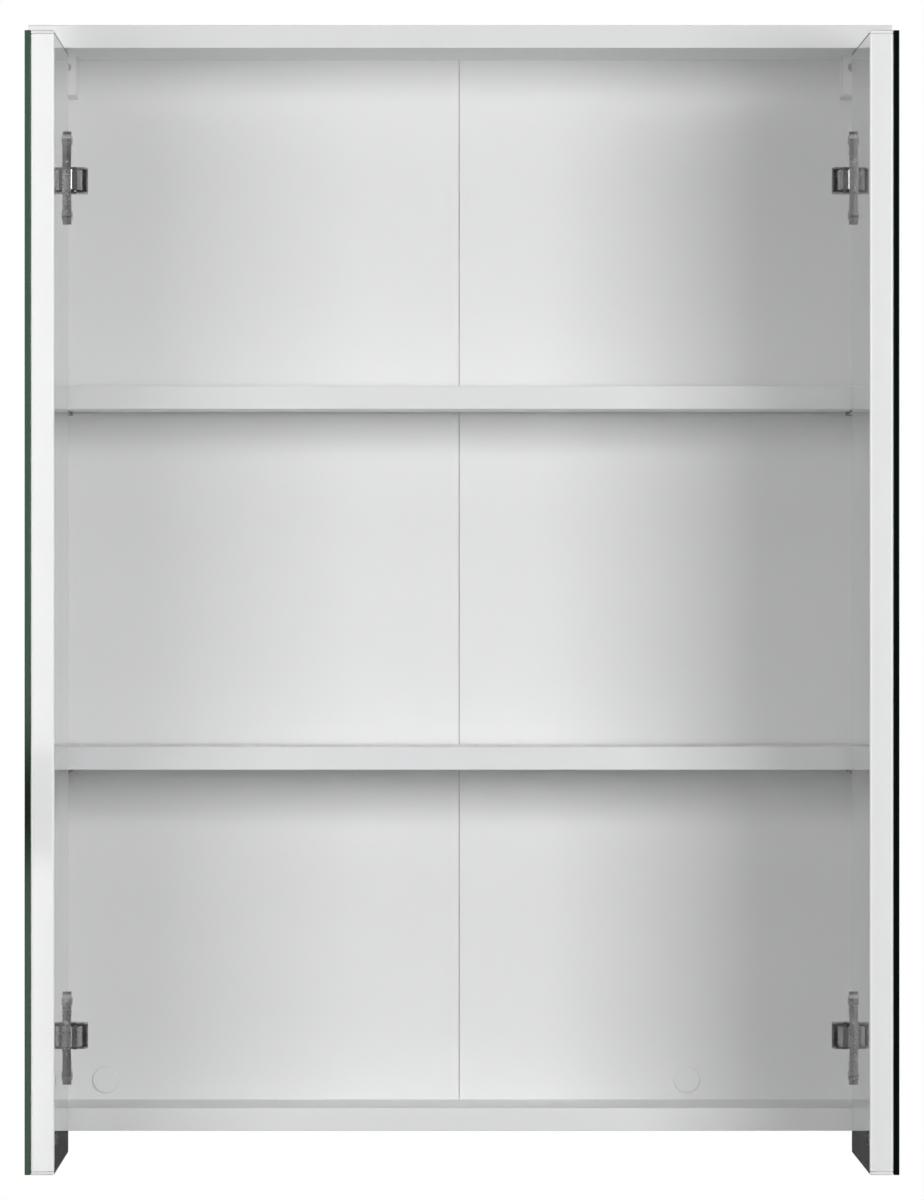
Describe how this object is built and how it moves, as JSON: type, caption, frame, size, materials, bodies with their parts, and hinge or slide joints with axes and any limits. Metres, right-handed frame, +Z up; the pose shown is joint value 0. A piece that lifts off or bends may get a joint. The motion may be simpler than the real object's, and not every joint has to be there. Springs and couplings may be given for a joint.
{
  "type": "bathroom mirror cabinet",
  "caption": "Wall-hung white cabinet with shelves and hinged mirrored doors that swing open on concealed hinges.",
  "frame": {"origin": "middle of the cabinet's underside on the wall plane", "axes": "+Z up, -Y out of the wall towards the user, +X to the user's right"},
  "size_m": [0.6, 0.4405, 0.785],
  "materials": {
    "white_board": "glossy white melamine face",
    "white_band": "glossy white",
    "back_sheet": "satin white lacquered fibreboard",
    "tape": "matt white fabric tape",
    "mirror": "polished silvered glass",
    "nickel": "bright nickel plate",
    "zinc": "zinc plate",
    "white_plastic": "satin moulded plastic",
    "clear_plastic": "clear soft plastic",
    "beech": "plain turned beech"
  },
  "bodies": {
    "cabinet": {"top_panel": "white_board", "bottom_panel": "white_board", "side_panel_left": "white_board", "side_panel_right": "white_board", "shelf_lower": "white_board", "shelf_upper": "white_board", "top_panel_bands": "white_band", "side_panel_bands": "white_band", "bottom_panel_band": "white_band", "shelf_bands": "white_band", "back_panel_left": "back_sheet", "back_panel_right": "back_sheet", "back_tape": "tape", "dowels": "beech", "cam_locks": "zinc", "cam_bolts": "zinc", "hanger_hook_left": "zinc", "hanger_hook_right": "zinc", "hanger_screw_left": "zinc", "hanger_screw_right": "zinc", "cam_covers": "white_plastic", "back_cover_caps": "white_plastic", "hanger_housing_left": "white_plastic", "hanger_housing_right": "white_plastic", "shelf_pins_lower": "nickel", "shelf_pins_upper": "nickel", "hinge_plate_screws_left": "nickel", "hinge_arm_screws_left": "nickel", "hinge_arm_pins_left": "nickel", "hinge_plate_lower_left": "nickel", "hinge_arm_lower_left": "nickel", "hinge_plate_upper_left": "nickel", "hinge_arm_upper_left": "nickel", "hinge_plate_screws_right": "nickel", "hinge_arm_screws_right": "nickel", "hinge_arm_pins_right": "nickel", "hinge_plate_lower_right": "nickel", "hinge_arm_lower_right": "nickel", "hinge_plate_upper_right": "nickel", "hinge_arm_upper_right": "nickel"},
    "links_left": {"hinge_link_lower_left": "nickel", "hinge_link_upper_left": "nickel"},
    "door_left": {"door_board_left": "white_board", "door_bands_left": "white_band", "door_mirror_left": "mirror", "door_bumpers_left": "clear_plastic", "hinge_cup_pins_left": "nickel", "hinge_cup_screws_left": "nickel", "hinge_cup_lower_left": "nickel", "hinge_cup_upper_left": "nickel"},
    "links_right": {"hinge_link_lower_right": "nickel", "hinge_link_upper_right": "nickel"},
    "door_right": {"door_board_right": "white_board", "door_bands_right": "white_band", "door_mirror_right": "mirror", "door_bumpers_right": "clear_plastic", "hinge_cup_pins_right": "nickel", "hinge_cup_screws_right": "nickel", "hinge_cup_lower_right": "nickel", "hinge_cup_upper_right": "nickel"}
  },
  "joints": [
    {"name": "link_swing_left", "type": "hinge", "parent": "cabinet", "child": "links_left", "pos_m": [-0.26933, -0.12732, 0], "axis": [0, 0, -1], "range_deg": [-1.87, 32.8]},
    {"name": "door_swing_left", "type": "hinge", "parent": "links_left", "child": "door_left", "pos_m": [-0.2762, -0.153, 0], "axis": [0, 0, -1], "range_deg": [-122.75, 6.82]},
    {"name": "link_swing_right", "type": "hinge", "parent": "cabinet", "child": "links_right", "pos_m": [0.26933, -0.12732, 0], "axis": [0, 0, 1], "range_deg": [-1.87, 32.8]},
    {"name": "door_swing_right", "type": "hinge", "parent": "links_right", "child": "door_right", "pos_m": [0.2762, -0.153, 0], "axis": [0, 0, 1], "range_deg": [-122.75, 6.82]}
  ],
  "couplings": [
    {"joint": "link_swing_left", "follows": "door_swing_left", "ratio": -0.26681},
    {"joint": "link_swing_right", "follows": "door_swing_right", "ratio": -0.26681}
  ]
}
